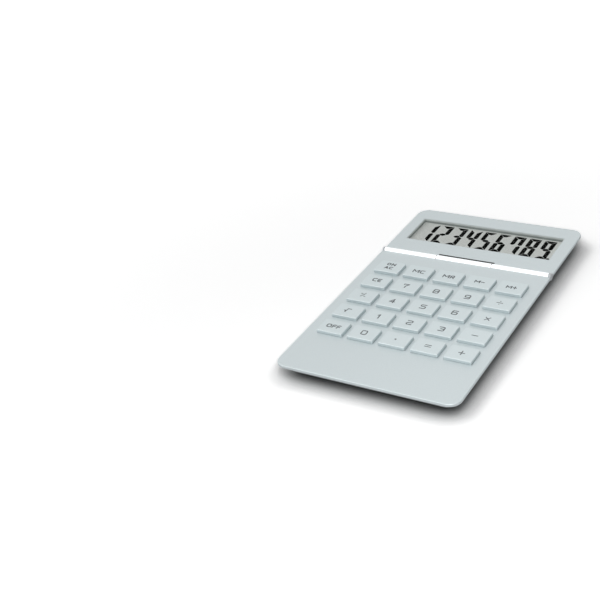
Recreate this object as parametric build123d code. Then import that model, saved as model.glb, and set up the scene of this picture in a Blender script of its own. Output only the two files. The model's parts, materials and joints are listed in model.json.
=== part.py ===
"""Desk calculator: a keyboard half and a tilting display half joined by a round hinge barrel.

Frame: +X to the right, +Y from the keys towards the display, +Z up. The origin is on the table,
under the middle of the whole calculator. All sizes are in millimetres.
"""
from build123d import *
import os
from math import cos, radians, sin

# ---------------------------------------------------------------- driving dimensions
# Keys
key_columns = 5
key_rows = 5
key_width = 14.8
key_depth = 11.1
key_spacing_x = 3.05            # between two keys of a row
key_spacing_y = 4.5             # between two rows
key_rise = 1.75                 # key tops above the plate
key_corner = 0.7
key_round = 0.45                # rounding of the top's edges
key_wall = 1.1
key_travel = 1.2
key_gap = 0.15                  # between a key and its opening, and under the plate
flange_width = 0.7
flange_thickness = 0.8
stem_radius = 1.95
press_gap = 0.1                 # between the stem of a pressed key and its contact pad

# Battery
cell_radius = 10.0
cell_thickness = 2.5
cell_gap = 0.3
cell_rest = 0.1                 # between the cell and its door
cell_lid_inset = 1.2
cell_lid_height = 0.3
cell_bevel = 0.3
holder_wall = 1.2
holder_floor = 0.9
holder_end = 2.5                # holder beyond the door's tongue edge
holder_screw_end = 1.5          # and beyond its screw edge
door_thickness = 0.75
door_gap = 0.15
door_tongue_side = 3.0          # door beyond the cell, at its tongue edge
door_screw_offset = 5.5         # cell's edge to the door's screw
door_edge = 3.6                 # door beyond its screw
door_lap = 1.6                  # door beyond the cell, front and back
door_boss_height = 2.2
door_boss_roof = 0.4
door_seat_depth = 0.35
door_tongue_offset = 7.0
door_tongue_half = 2.0
door_tongue_length = 1.2
door_tongue_step = 0.4
grip_inset = 1.5
grip_width = 2.0
grip_half_length = 6.0
grip_depth = 0.25
contact_thickness = 0.3
contact_width = 4.0
contact_reach = 2.8             # contact feet on the main board
contact_side_room = 2.0         # gap in the holder's wall beside the contact
minus_reach = 4.0               # contact past the middle of the cell
side_contact_thickness = 0.2
side_contact_gap = 0.02
side_contact_half = 1.0
side_contact_arm = 3.0
side_contact_run = 2.0

# Display window
window_margin = 7.0             # window to the plate's sides
window_depth = 24.4
window_corner = 0.4
bezel_wall = 0.4
bezel_corner = 0.2
bezel_drop = 0.15               # bezel below the plate's top face
lens_thickness = 0.6
lens_gap = 0.05                 # window sheet inside the bezel

# Margins and heights
side_margin = 6.9               # outer keys to the plate's sides
cell_front_margin = 9.5         # front edge to the cell
cell_to_board = 1.15            # cell to the main board
board_front_lap = 1.0           # main board in front of the front row
hinge_to_keys = 13.95           # hinge axis to the back row
hinge_to_window = 14.8          # hinge axis to the window's front edge
back_margin = 11.0              # window to the back edge
corner_radius = 6.3
plate_top = 8.6                 # top faces of both cover plates, above the table
plate_thickness = 1.6
plate_top_round = 0.5           # rounding of the rim's upper edge
plate_low_round = 0.3           # rounding of the rim's lower edge

# Lower cases, one undercut shape for both halves
foot_height = 1.0               # the feet hold the cases this far off the table
case_inset_top = 2.5            # case wall behind the plate's rim, at the plate
case_inset_low = 5.4            # the same, where the wall meets the bottom bevel
case_inset_floor = 6.6          # the same, at the underside
case_bevel = 1.0                # height of the bevel around the underside
case_corner = 4.5
case_wall = 1.3
case_floor = 1.2

# Hinge
barrel_radius = 2.0
barrel_rise = 1.25              # how far the barrel stands above the plates
barrel_gap = 0.1                # between the keyboard plate's edge and the barrel
barrel_seat = 0.05              # between the barrels and the display half's edges
knuckle_width = 32.5            # middle third, fixed to the keyboard half
knuckle_gap = 0.3               # end gap between knuckle and barrels
hinge_clearance = 0.3           # radial gap round the barrels and between the two cases
slot_width = 1.35               # relief slot behind the knuckle
web_inset = 1.0                 # knuckle's web inside its ends
knuckle_column = 0.8            # case floor under the knuckle's foot, above the screw heads
knuckle_foot = 1.3
knuckle_foot_reach = 5.0
knuckle_screw_reach = 2.6       # cross wall to the knuckle's screws
knuckle_screw_x = 11.5
knuckle_tip_gap = 0.1
cradle_floor = 1.1
cradle_wall = 1.5
cradle_side_gap = 1.6
tongue_thickness = 1.2
tongue_reach = 8.0
tongue_inset = 1.0
tongue_side_gap = 2.0
tongue_gap = 0.1
end_cap_length = 1.5
end_cap_round = 0.4
end_plug_radius = 1.2
end_plug_length = 3.0
end_plug_gap = 0.2
pin_radius = 0.75
pin_running_gap = 0.05
pin_in_knuckle = 8.0
pin_in_barrel = 10.0
pin_end_gap = 0.5
sleeve_radius = 1.4
sleeve_start = 2.5              # from the barrel's inner end
sleeve_length = 6.0
sleeve_slit = 0.5
tilt_max = 40.0                 # degrees
stop_play = 3.0                 # degrees of play at each end of the stop slot
stop_span = 40.0                # degrees of the stop tab
stop_inner_radius = 1.1
stop_outer_radius = 1.55
stop_root = 0.5                 # stop tab inside the knuckle
stop_length = 1.2
stop_gap = 0.15

# Keyboard inside
standoff_height = 0.5
standoff_radius = 1.2
standoff_inset = 3.0
board_thickness = 1.0
board_side_gap = 0.9
board_corner = 3.0
membrane_thickness = 0.6
membrane_lap = 0.3              # membrane behind the back row's flanges
membrane_gap = 0.2              # between the membrane and the battery contacts
collar_height = 1.4
collar_wall = 0.95
collar_gap = 0.3                # around the stem
pad_radius = 1.6
pad_thickness = 0.4
post_radius = 0.6

# Display inside
hinge_to_board = 6.0
display_board_thickness = 0.8
board_notch_half = 4.5          # notch in the display board round each screw boss
board_notch_room = 1.0
display_standoff_back = 8.0     # board's front edge to its front standoffs
lcd_thickness = 1.5
lcd_side_lap = 1.0              # glass beyond the opening, left and right
lcd_front_lap = 2.0
lcd_back_lap = 3.8
film_thickness = 0.2
film_lap = 0.8
zebra_width = 1.6
zebra_inset = 3.0
zebra_back_gap = 0.4
frame_wall = 1.4
chip_radius = 4.0
chip_height = 0.8
chip_round = 0.45
capacitor_x = 9.0
capacitor_pitch = 3.4
capacitor_length = 2.0
capacitor_width = 1.2
capacitor_height = 0.7

# Fasteners, hooks and feet
screw_head_radius = 1.5
screw_head_height = 0.9
door_screw_head_height = 0.6
screw_radius = 0.7
screw_gap = 0.05
screw_recess_gap = 0.2
screw_sink = 0.3                # screw heads below the underside
screw_tip_gap = 0.4
door_screw_tip_gap = 0.2
cross_reach = 0.9
cross_half = 0.2
cross_depth = 0.5
door_cross_depth = 0.35
boss_radius = 2.1
boss_roof = 0.4
boss_gap = 0.1
boss_split = 3.9                # height where case column and cover boss meet
column_lip = 0.3                # case column wider than the cover's boss
column_gap = 0.4                # case column behind the main board
screw_margin = 12.5             # screws and feet to the sides
front_screw_margin = 12.0
front_screw_gap = 4.9           # battery door to the front screws
display_screw_reach = 4.6       # hinge axis to the display's screws
hook_x = 25.0
hook_half = 4.0
hook_offset = 2.4
hook_thickness = 0.9
hook_length = 2.0
foot_radius = 4.0
foot_recess = 0.3
foot_gap = 0.1
foot_bevel = 0.3
foot_margin = 12.5
foot_to_hinge = 20.0

# Ribbon cable
ribbon_width = 16.0
ribbon_thickness = 0.2
ribbon_gap = 0.3                # between the two halves, on the hinge line
ribbon_drop = 0.5               # cable below the barrel
ribbon_room = 0.25              # around the cable in the knuckle's passage
ribbon_straight = 1.0           # straight run past a board's edge
ribbon_entry = 0.3              # level run in front of the cradle
ribbon_back_run = 2.0           # and behind the hinge axis
ribbon_end_gap = 0.2
cable_level = 0.5               # cable above its boards
connector_depth = 2.8
connector_height = 1.0
connector_side = 1.5
connector_inset = 0.5           # connector to its board's edge
connector_to_flange = 0.9
connector_slot_depth = 1.2
connector_slot_room = 0.1

# ---------------------------------------------------------------- places worked out from them
key_pitch_x = key_width + key_spacing_x
key_pitch_y = key_depth + key_spacing_y
keypad_half_width = (key_columns - 1) / 2 * key_pitch_x + key_width / 2
keypad_depth = (key_rows - 1) * key_pitch_y + key_depth
front_margin = cell_front_margin + 2 * cell_radius + cell_to_board + board_front_lap
display_depth = hinge_to_window + window_depth + back_margin
body_width = 2 * keypad_half_width + 2 * side_margin
body_length = front_margin + keypad_depth + hinge_to_keys + display_depth
half_width = body_width / 2
front_y = -body_length / 2
back_y = body_length / 2
hinge_y = back_y - display_depth
plate_low = plate_top - plate_thickness
hinge_z = plate_top + barrel_rise - barrel_radius
case_low = foot_height
floor_top = case_low + case_floor
case_inner_x = half_width - case_inset_top - case_wall
half_knuckle = knuckle_width / 2
web_half = half_knuckle - web_inset
barrel_start = half_knuckle + knuckle_gap
barrel_end = half_width - end_cap_length
keyboard_back_y = hinge_y - hinge_clearance / 2
display_front_y = hinge_y + hinge_clearance / 2
wall_front_y = keyboard_back_y - case_wall
relief_radius = barrel_radius + slot_width

keys_back_y = hinge_y - hinge_to_keys
keys_front_y = keys_back_y - keypad_depth
key_top = plate_top + key_rise
flange_top = plate_low - key_gap
key_bottom = flange_top - flange_thickness
board_low = floor_top + standoff_height
board_top = board_low + board_thickness
pad_top = board_top + pad_thickness
membrane_top = board_top + membrane_thickness
collar_top = membrane_top + collar_height
collar_inner = stem_radius + collar_gap
collar_outer = collar_inner + collar_wall
board_half_width = half_width - case_inset_floor - board_side_gap
board_back_y = keys_back_y + flange_width + connector_to_flange + connector_depth + connector_inset
board_front_y = keys_front_y - board_front_lap
contact_foot_y = board_front_y + contact_reach
membrane_half_width = keypad_half_width - flange_width
membrane_front_y = contact_foot_y + membrane_gap
membrane_back_y = keys_back_y + flange_width + membrane_lap

window_width = body_width - 2 * window_margin
window_front_y = hinge_y + hinge_to_window
window_y = window_front_y + window_depth / 2
window_back_y = window_front_y + window_depth
lens_low = plate_low - lens_thickness
lcd_low = lens_low - lcd_thickness
film_low = lcd_low - film_thickness
lcd_front_y = window_front_y - lcd_front_lap
lcd_back_y = window_back_y + lcd_back_lap
lcd_half_width = window_width / 2 + lcd_side_lap
display_board_top = board_low + display_board_thickness
display_board_front_y = hinge_y + hinge_to_board

cell_y = front_y + cell_front_margin + cell_radius
cell_low = case_low + door_thickness + cell_rest
cell_top = cell_low + cell_thickness
holder_top = case_low + door_thickness + holder_floor
door_tongue_x = cell_radius + door_tongue_side
door_screw_x = cell_radius + door_screw_offset
door_half_depth = cell_radius + door_lap
door_seat = case_low + door_seat_depth

tongue_low = plate_low - tongue_thickness
tongue_back_y = hinge_y + tongue_reach
tongue_start = barrel_start + tongue_inset
tongue_end = case_inner_x - tongue_side_gap
cradle_low = hinge_z - barrel_radius - cradle_floor
cradle_front_y = hinge_y - barrel_radius - hinge_clearance - cradle_wall
cradle_end = case_inner_x - cradle_side_gap
ribbon_z = hinge_z - barrel_radius - ribbon_drop
column_radius = boss_radius + column_lip
screw_seat = case_low + screw_sink + screw_head_height
screw_tip = plate_low - boss_roof - screw_tip_gap
foot_low = screw_seat + knuckle_column
foot_top = foot_low + knuckle_foot
screw_x_front = door_screw_x + door_edge + front_screw_gap
screw_y_front = front_y + front_screw_margin
screw_x_back = half_width - screw_margin
screw_y_back = board_back_y + column_gap + column_radius
knuckle_screw_y = wall_front_y - knuckle_screw_reach
display_screw_x = half_width - screw_margin
display_screw_y = hinge_y + display_screw_reach
foot_x = half_width - foot_margin
keyboard_foot_rows = (front_y + foot_margin, hinge_y - foot_to_hinge)
display_foot_y = back_y - foot_margin


# ---------------------------------------------------------------- small makers
def box(x0, x1, y0, y1, z0, z1):
    """A block between two corners."""
    middle = Pos((x0 + x1) / 2, (y0 + y1) / 2, (z0 + z1) / 2)
    return middle * Box(x1 - x0, y1 - y0, z1 - z0)


def post(x, y, radius, z0, z1):
    """An upright round post."""
    return Pos(x, y, (z0 + z1) / 2) * Cylinder(radius, z1 - z0)


def hinge_rod(radius, end, other_end):
    """A round rod on the hinge axis, between two ends in either order."""
    length = abs(other_end - end)
    return Location(((end + other_end) / 2, hinge_y, hinge_z), (0, 90, 0)) * Cylinder(radius, length)


def hinge_sector(inner, outer, start, span, end, other_end):
    """Part of a ring on the hinge axis, its angles measured from +Y towards +Z."""
    reach = 2 * outer
    low_x = min(end, other_end)
    turns = [radians(start + span * step / 2) for step in range(3)]
    corners = [(0, 0)] + [(reach * cos(turn), reach * sin(turn)) for turn in turns]
    side = Plane(origin=(low_x, hinge_y, hinge_z), x_dir=(0, 1, 0), z_dir=(1, 0, 0))
    wedge = extrude(side * Polygon(*corners, align=None), abs(other_end - end), dir=(1, 0, 0))
    return (hinge_rod(outer, end, other_end) - hinge_rod(inner, end, other_end)) & wedge


def tub(extra, low, high):
    """The undercut case as a solid block for both halves, its sides moved in by extra."""
    bevel_top = case_low + case_bevel
    levels = [(case_low, case_inset_floor), (bevel_top, case_inset_low), (plate_low, case_inset_top)]
    sections = []
    for level, inset in levels:
        side = 2 * (inset + extra)
        outline = RectangleRounded(body_width - side, body_length - side, case_corner)
        sections.append(Plane.XY.offset(level) * outline)
    solid = loft(sections, ruled=True)
    return solid & box(-half_width, half_width, front_y, back_y, low, high)


def case_shell(y0, y1, wall_y0, wall_y1):
    """One half of the undercut case: sides, floor, and the cross wall next to the hinge."""
    hollow = tub(case_wall, floor_top, plate_low)
    shell = tub(0, case_low, plate_low) - hollow
    half = shell & box(-half_width, half_width, y0, y1, case_low, plate_low)
    wall = tub(0, case_low, plate_low) & box(-half_width, half_width, wall_y0, wall_y1, case_low, plate_low)
    return half + wall


def full_plate():
    """The thin cover plate of both halves in one piece, with its rounded rim."""
    outline = Plane.XY.offset(plate_low) * RectangleRounded(body_width, body_length, corner_radius)
    plate = extrude(outline, plate_thickness)
    plate = fillet(plate.edges().group_by(Axis.Z)[-1], plate_top_round)
    return fillet(plate.edges().group_by(Axis.Z)[0], plate_low_round)


def screw(x, y, seat, tip, head_height=screw_head_height, depth=cross_depth):
    """A pan-head screw driven upwards, with a cross recess in its head."""
    head_low = seat - head_height
    head = post(x, y, screw_head_radius, head_low, seat)
    shank = post(x, y, screw_radius, seat, tip)
    cross = box(-cross_reach, cross_reach, -cross_half, cross_half, head_low, head_low + depth)
    cross += box(-cross_half, cross_half, -cross_reach, cross_reach, head_low, head_low + depth)
    return head + shank - Pos(x, y) * cross


def add_screw_column(case, x, y, top):
    """A column on the case's floor that takes a screw from below."""
    case += post(x, y, column_radius, case_low, top)
    case -= post(x, y, screw_head_radius + screw_recess_gap, case_low, screw_seat)
    return case - post(x, y, screw_radius + screw_gap, screw_seat, top)


def add_cover_boss(cover, x, y):
    """A boss under a cover plate that the screw's tip bites into."""
    cover += post(x, y, boss_radius, boss_split, plate_low)
    return cover - post(x, y, screw_radius + screw_gap, boss_split, plate_low - boss_roof)


def board_plate(y0, y1, thickness):
    """A circuit board with rounded corners."""
    outline = RectangleRounded(2 * board_half_width, y1 - y0, board_corner)
    return extrude(Plane.XY.offset(board_low) * Pos(0, (y0 + y1) / 2) * outline, thickness)


def connector(y0, y1, slot_y0, slot_y1, level):
    """A ribbon connector on a board, with the slot that takes the cable's end."""
    side = ribbon_width / 2 + connector_side
    slot_side = ribbon_width / 2 + connector_slot_room
    slot_half = ribbon_thickness / 2 + connector_slot_room
    slot_z = level + cable_level
    block = box(-side, side, y0, y1, level, level + connector_height)
    return block - box(-slot_side, slot_side, slot_y0, slot_y1, slot_z - slot_half, slot_z + slot_half)


def ribbon(points, room=0):
    """A flat cable across the width, along a route of (y, z) points, with room around it."""
    half = ribbon_thickness / 2 + room
    width = ribbon_width + 2 * room
    upper = [(y, z + half) for y, z in points]
    lower = [(y, z - half) for y, z in reversed(points)]
    side = Plane(origin=(-width / 2, 0, 0), x_dir=(0, 1, 0), z_dir=(1, 0, 0))
    return extrude(side * Polygon(*(upper + lower), align=None), width, dir=(1, 0, 0))


def lower_route(end_y):
    """Route of the cable from the main board to its end at the hinge, as (y, z) points."""
    start_y = board_back_y - connector_inset - connector_slot_depth + ribbon_end_gap
    level = board_top + cable_level
    return [(start_y, level), (board_back_y + ribbon_straight, level),
            (cradle_front_y - ribbon_entry, ribbon_z), (end_y, ribbon_z)]


def key_places():
    """Name, x and y of every key, from the back row to the front and from left to right."""
    names = [
        ["on_ac", "mc", "mr", "m_minus", "m_plus"],
        ["ce", "7", "8", "9", "divide"],
        ["percent", "4", "5", "6", "multiply"],
        ["root", "1", "2", "3", "minus"],
        ["off", "0", "point", "equals", "plus"],
    ]
    places = []
    for row in range(key_rows):
        for column in range(key_columns):
            x = (column - (key_columns - 1) / 2) * key_pitch_x
            y = keys_back_y - key_depth / 2 - row * key_pitch_y
            places.append((names[row][column], x, y))
    return places


# ---------------------------------------------------------------- keyboard half
def keyboard_cover():
    """Top plate of the keyboard half: key openings, barrel cradle, bosses and membrane posts."""
    cover = full_plate() & box(-half_width, half_width, front_y, hinge_y, plate_low, plate_top)
    cover -= hinge_rod(barrel_radius + barrel_gap, -half_width, half_width)
    for _, x, y in key_places():
        opening = RectangleRounded(key_width + 2 * key_gap, key_depth + 2 * key_gap, key_corner + key_gap)
        cover -= extrude(Plane.XY.offset(plate_low) * Pos(x, y) * opening, plate_thickness)
    for side in (-1, 1):
        low_x, high_x = sorted((side * barrel_start, side * cradle_end))
        cradle = box(low_x, high_x, cradle_front_y, keyboard_back_y, cradle_low, plate_low)
        cover += cradle - hinge_rod(barrel_radius + hinge_clearance, -half_width, half_width)
        cover = add_cover_boss(cover, side * screw_x_front, screw_y_front)
        cover = add_cover_boss(cover, side * screw_x_back, screw_y_back)
        for row in (0, key_rows - 2):
            post_y = keys_back_y - key_depth / 2 - (row + 0.5) * key_pitch_y
            for column in (0.5, 1.5):
                cover += post(side * column * key_pitch_x, post_y, post_radius, membrane_top, plate_low)
    return cover


def keyboard_bottom_case():
    """Undercut tray of the keyboard half, with standoffs, screw columns and the battery holder."""
    case = case_shell(front_y, keyboard_back_y, wall_front_y, keyboard_back_y)
    case -= hinge_rod(barrel_radius + hinge_clearance, -half_width, half_width)
    case -= box(-cradle_end, cradle_end, cradle_front_y, keyboard_back_y, cradle_low, plate_low)
    case -= box(-web_half, web_half, wall_front_y, keyboard_back_y, floor_top, plate_low)
    case = add_battery_holder(case)
    for side in (-1, 1):
        case = add_screw_column(case, side * screw_x_front, screw_y_front, boss_split)
        case = add_screw_column(case, side * screw_x_back, screw_y_back, boss_split)
        case = add_screw_column(case, side * knuckle_screw_x, knuckle_screw_y, foot_low)
        standoff_x = side * (board_half_width - standoff_inset)
        standoff_rows = (board_front_y + standoff_inset, (board_front_y + board_back_y) / 2,
                         board_back_y - standoff_inset)
        for y in standoff_rows:
            case += post(standoff_x, y, standoff_radius, floor_top, board_low)
        for y in keyboard_foot_rows:
            case -= post(side * foot_x, y, foot_radius + foot_gap, case_low, case_low + foot_recess)
    return case


def add_battery_holder(case):
    """The raised floor and ring round the coin cell, with the door's recess and screw boss."""
    half = door_half_depth + holder_wall
    ring_radius = cell_radius + cell_gap
    holder = box(-door_tongue_x - holder_end, door_screw_x + door_edge + holder_screw_end,
                 cell_y - half, cell_y + half, case_low, holder_top)
    case += holder & tub(0, case_low, plate_low)
    case += post(0, cell_y, ring_radius + holder_wall, holder_top, cell_top)
    case -= post(0, cell_y, ring_radius, case_low, cell_top)
    slot_half = contact_width / 2 + contact_side_room
    case -= box(-slot_half, slot_half, cell_y, cell_y + half, holder_top, cell_top)
    case -= battery_door_shape(door_gap)
    case += post(door_screw_x, cell_y, boss_radius, holder_top, holder_top + door_boss_height)
    hole_top = holder_top + door_boss_height - door_boss_roof
    return case - post(door_screw_x, cell_y, screw_radius + screw_gap, case_low, hole_top)


def battery_door_shape(grow):
    """The battery door with its tongues, made larger all round by grow for the case's recess."""
    x0 = -door_tongue_x - grow
    x1 = door_screw_x + door_edge + grow
    half = door_half_depth + grow
    tongue_half = door_tongue_half + grow
    door_top = case_low + door_thickness
    door = box(x0, x1, cell_y - half, cell_y + half, case_low, door_top)
    for side in (-1, 1):
        y = cell_y + side * door_tongue_offset
        door += box(x0 - door_tongue_length, x0, y - tongue_half, y + tongue_half,
                    case_low + door_tongue_step - grow, door_top)
    return door


def battery_door():
    """Flat door over the coin cell, held by two tongues and a screw."""
    hole = post(door_screw_x, cell_y, screw_radius + screw_gap, case_low, case_low + door_thickness)
    seat = post(door_screw_x, cell_y, screw_head_radius + screw_recess_gap, case_low, door_seat)
    grip_x = -door_tongue_x + grip_inset
    grip = box(grip_x, grip_x + grip_width, cell_y - grip_half_length, cell_y + grip_half_length,
               case_low, case_low + grip_depth)
    return battery_door_shape(0) - hole - seat - grip


def battery_door_screw():
    """Screw of the battery door, its head partly sunk in the door."""
    tip = holder_top + door_boss_height - door_boss_roof - door_screw_tip_gap
    return screw(door_screw_x, cell_y, door_seat, tip, door_screw_head_height, door_cross_depth)


def coin_cell():
    """Button battery: a wide can with a narrower lid on top."""
    lid_low = cell_top - cell_lid_height
    can = post(0, cell_y, cell_radius, cell_low, lid_low)
    lid = post(0, cell_y, cell_radius - cell_lid_inset, lid_low, cell_top)
    return chamfer(can.edges().group_by(Axis.Z)[0], cell_bevel) + lid


def battery_contact_minus():
    """Strip on the cell's lid that steps down to the main board."""
    half = contact_width / 2
    strip_top = cell_top + contact_thickness
    step_y = cell_y + cell_radius + cell_gap + contact_thickness
    strip = box(-half, half, cell_y - minus_reach, step_y, cell_top, strip_top)
    step = box(-half, half, step_y - contact_thickness, step_y, board_top, strip_top)
    return strip + step + box(-half, half, step_y, contact_foot_y, board_top, board_top + contact_thickness)


def battery_contact_plus():
    """Strip beside the cell that runs to the main board."""
    x0 = cell_radius + side_contact_gap
    x1 = x0 + side_contact_arm
    low_y, high_y = cell_y - side_contact_half, cell_y + side_contact_half
    top = cell_top + side_contact_thickness
    blade = box(x0, x0 + side_contact_thickness, low_y, high_y, holder_top, top)
    arm = box(x0, x1, low_y, high_y, cell_top, top)
    run = box(x1 - side_contact_run, x1, high_y, contact_foot_y, cell_top, top)
    drop = box(x1 - side_contact_run, x1, contact_foot_y - side_contact_thickness, contact_foot_y,
               board_top, cell_top)
    return blade + arm + run + drop


def foot(x, y):
    """A round rubber foot, pressed into its recess."""
    pad = post(x, y, foot_radius, 0, case_low + foot_recess)
    return chamfer(pad.edges().group_by(Axis.Z)[0], foot_bevel)


def main_board():
    """Circuit board under the key membrane."""
    return board_plate(board_front_y, board_back_y, board_thickness)


def contact_pads():
    """Carbon contact pads on the main board, one under each key."""
    return Compound([post(x, y, pad_radius, board_top, pad_top) for _, x, y in key_places()])


def key_membrane():
    """Silicone sheet on the board, with a collar round the stem of each key."""
    half_x = membrane_half_width
    sheet = box(-half_x, half_x, membrane_front_y, membrane_back_y, board_top, membrane_top)
    for _, x, y in key_places():
        sheet += post(x, y, collar_outer, membrane_top, collar_top)
    for _, x, y in key_places():
        sheet -= post(x, y, collar_inner, board_top, collar_top)
    return sheet


def key(x, y):
    """A hollow key cap with a rounded top edge, a flange under the plate and a stem."""
    outline = Plane.XY.offset(key_bottom) * Pos(x, y) * RectangleRounded(key_width, key_depth, key_corner)
    cap = extrude(outline, key_top - key_bottom)
    cap = fillet(cap.edges().group_by(Axis.Z)[-1], key_round)
    half_x = key_width / 2 + flange_width
    half_y = key_depth / 2 + flange_width
    cap += box(x - half_x, x + half_x, y - half_y, y + half_y, key_bottom, flange_top)
    inner_x = key_width / 2 - key_wall
    inner_y = key_depth / 2 - key_wall
    cap -= box(x - inner_x, x + inner_x, y - inner_y, y + inner_y, key_bottom, key_top - key_wall)
    return cap + post(x, y, stem_radius, pad_top + press_gap + key_travel, key_top - key_wall)


def main_connector():
    """Ribbon connector on the main board."""
    back = board_back_y - connector_inset
    return connector(back - connector_depth, back, back - connector_slot_depth, back, board_top)


def ribbon_cable_lower():
    """Keyboard half of the ribbon cable, from the main board to the hinge line."""
    return ribbon(lower_route(hinge_y - ribbon_gap / 2))


# ---------------------------------------------------------------- hinge
def hinge_knuckle():
    """Middle knuckle: a bright round bar on a web and foot that screw to the keyboard case."""
    knuckle = hinge_rod(barrel_radius, -half_knuckle, half_knuckle)
    knuckle += box(-web_half, web_half, cradle_front_y, keyboard_back_y, cradle_low, plate_low)
    knuckle += box(-web_half, web_half, wall_front_y, keyboard_back_y, floor_top, cradle_low)
    knuckle += box(-web_half, web_half, wall_front_y - knuckle_foot_reach, wall_front_y, foot_low, foot_top)
    knuckle -= ribbon(lower_route(hinge_y), ribbon_room)
    stop_start = -90 - stop_span / 2
    for side in (-1, 1):
        end = side * half_knuckle
        stop_end = end + side * (knuckle_gap + stop_length)
        screw_x = side * knuckle_screw_x
        knuckle -= post(screw_x, knuckle_screw_y, screw_radius + screw_gap, foot_low, foot_top)
        knuckle -= hinge_rod(pin_radius, end - side * pin_in_knuckle, end)
        knuckle += hinge_sector(stop_inner_radius, stop_outer_radius, stop_start, stop_span,
                                end - side * stop_root, stop_end)
    return knuckle


def hinge_pin(side):
    """Steel pin, fast in the knuckle and running in one barrel."""
    start = half_knuckle - pin_in_knuckle
    return hinge_rod(pin_radius, side * start, side * (barrel_start + pin_in_barrel))


def sleeve_ends(side):
    """Both ends of the friction sleeve in one barrel."""
    start = barrel_start + sleeve_start
    return side * start, side * (start + sleeve_length)


def hinge_barrel(side):
    """Bright outer barrel of the display half, with the tongue that carries it under the cover."""
    inner, outer = side * barrel_start, side * barrel_end
    barrel = hinge_rod(barrel_radius, inner, outer)
    low_x, high_x = sorted((side * tongue_start, side * tongue_end))
    barrel += box(low_x, high_x, hinge_y, tongue_back_y, tongue_low, plate_low)
    barrel -= post(side * display_screw_x, display_screw_y, boss_radius + boss_gap, tongue_low, plate_low)
    bore_end = side * (barrel_start + pin_in_barrel + pin_end_gap)
    barrel -= hinge_rod(pin_radius + pin_running_gap, inner, bore_end)
    barrel -= hinge_rod(sleeve_radius, *sleeve_ends(side))
    slot_start = -90 - stop_span / 2 - tilt_max - stop_play
    slot_span = stop_span + tilt_max + 2 * stop_play
    barrel -= hinge_sector(stop_inner_radius - stop_gap, stop_outer_radius + stop_gap, slot_start, slot_span,
                           inner, inner + side * (stop_length + stop_gap))
    return barrel - hinge_rod(end_plug_radius, outer, outer - side * end_plug_length)


def friction_sleeve(side):
    """Split spring sleeve in a barrel, gripping the pin."""
    start, end = sorted(sleeve_ends(side))
    sleeve = hinge_rod(sleeve_radius, start, end) - hinge_rod(pin_radius + pin_running_gap, start, end)
    half = sleeve_slit / 2
    return sleeve - box(start, end, hinge_y - half, hinge_y + half, hinge_z, hinge_z + 2 * sleeve_radius)


def end_cap(side):
    """Cap that closes a barrel's outer end, with its plug."""
    cap = hinge_rod(barrel_radius, side * barrel_end, side * half_width)
    rim = cap.edges().group_by(Axis.X)[-1 if side > 0 else 0]
    cap = fillet(rim, end_cap_round)
    plug_end = barrel_end - end_plug_length + end_plug_gap
    return cap + hinge_rod(end_plug_radius, side * barrel_end, side * plug_end)


# ---------------------------------------------------------------- display half
def display_cover():
    """Top plate of the display half: window opening, relief slot, bosses and back hooks."""
    cover = full_plate() & box(-half_width, half_width, hinge_y, back_y, plate_low, plate_top)
    cover -= hinge_rod(barrel_radius + barrel_seat, -half_width, half_width)
    cover -= box(-barrel_start, barrel_start, hinge_y, hinge_y + relief_radius, plate_low, plate_top)
    opening = RectangleRounded(window_width, window_depth, window_corner)
    cover -= extrude(Plane.XY.offset(plate_low) * Pos(0, window_y) * opening, plate_thickness)
    hook_y = back_y - case_inset_top - case_wall - hook_offset
    for side in (-1, 1):
        cover = add_cover_boss(cover, side * display_screw_x, display_screw_y)
        cover += box(side * hook_x - hook_half, side * hook_x + hook_half, hook_y, hook_y + hook_thickness,
                     plate_low - hook_length, plate_low)
    return cover


def display_back_cover():
    """Undercut tray of the display half."""
    case = case_shell(display_front_y, back_y, display_front_y, display_front_y + case_wall)
    case -= hinge_rod(barrel_radius + barrel_seat, -half_width, half_width)
    case -= hinge_rod(relief_radius, -barrel_start, barrel_start)
    for side in (-1, 1):
        low_x, high_x = sorted((side * (tongue_start - tongue_gap), side * (tongue_end + tongue_gap)))
        case -= box(low_x, high_x, hinge_y, tongue_back_y, tongue_low - tongue_gap, plate_low)
        case = add_screw_column(case, side * display_screw_x, display_screw_y, boss_split)
        standoff_x = side * (board_half_width - standoff_inset)
        for y in (display_board_front_y + display_standoff_back, lcd_back_y - standoff_inset):
            case += post(standoff_x, y, standoff_radius, floor_top, board_low)
        case -= post(side * foot_x, display_foot_y, foot_radius + foot_gap, case_low, case_low + foot_recess)
    return case


def window_bezel():
    """Dark lining of the window opening, down to the display glass."""
    outer = RectangleRounded(window_width, window_depth, window_corner)
    inner = RectangleRounded(window_width - 2 * bezel_wall, window_depth - 2 * bezel_wall, bezel_corner)
    ring = Plane.XY.offset(lens_low) * Pos(0, window_y) * (outer - inner)
    return extrude(ring, plate_top - bezel_drop - lens_low)


def window_lens():
    """Clear sheet inside the bezel, on the display glass."""
    inset = bezel_wall + lens_gap
    half_x = window_width / 2 - inset
    return box(-half_x, half_x, window_front_y + inset, window_back_y - inset, lens_low, plate_low)


def lcd_panel():
    """Display glass, with its contact ledge along the back edge."""
    return box(-lcd_half_width, lcd_half_width, lcd_front_y, lcd_back_y, lcd_low, lens_low)


def reflector_film():
    """Reflector behind the display glass."""
    half_x = window_width / 2 + film_lap
    return box(-half_x, half_x, window_front_y - film_lap, window_back_y + film_lap, film_low, lcd_low)


def lcd_frame():
    """Frame that holds the display glass off its board."""
    half_x = lcd_half_width
    front, back = lcd_front_y, lcd_back_y - 2 * zebra_width
    ring = box(-half_x, half_x, front, back, display_board_top, film_low)
    return ring - box(-half_x + frame_wall, half_x - frame_wall, front + frame_wall, back - frame_wall,
                      display_board_top, film_low)


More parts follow.
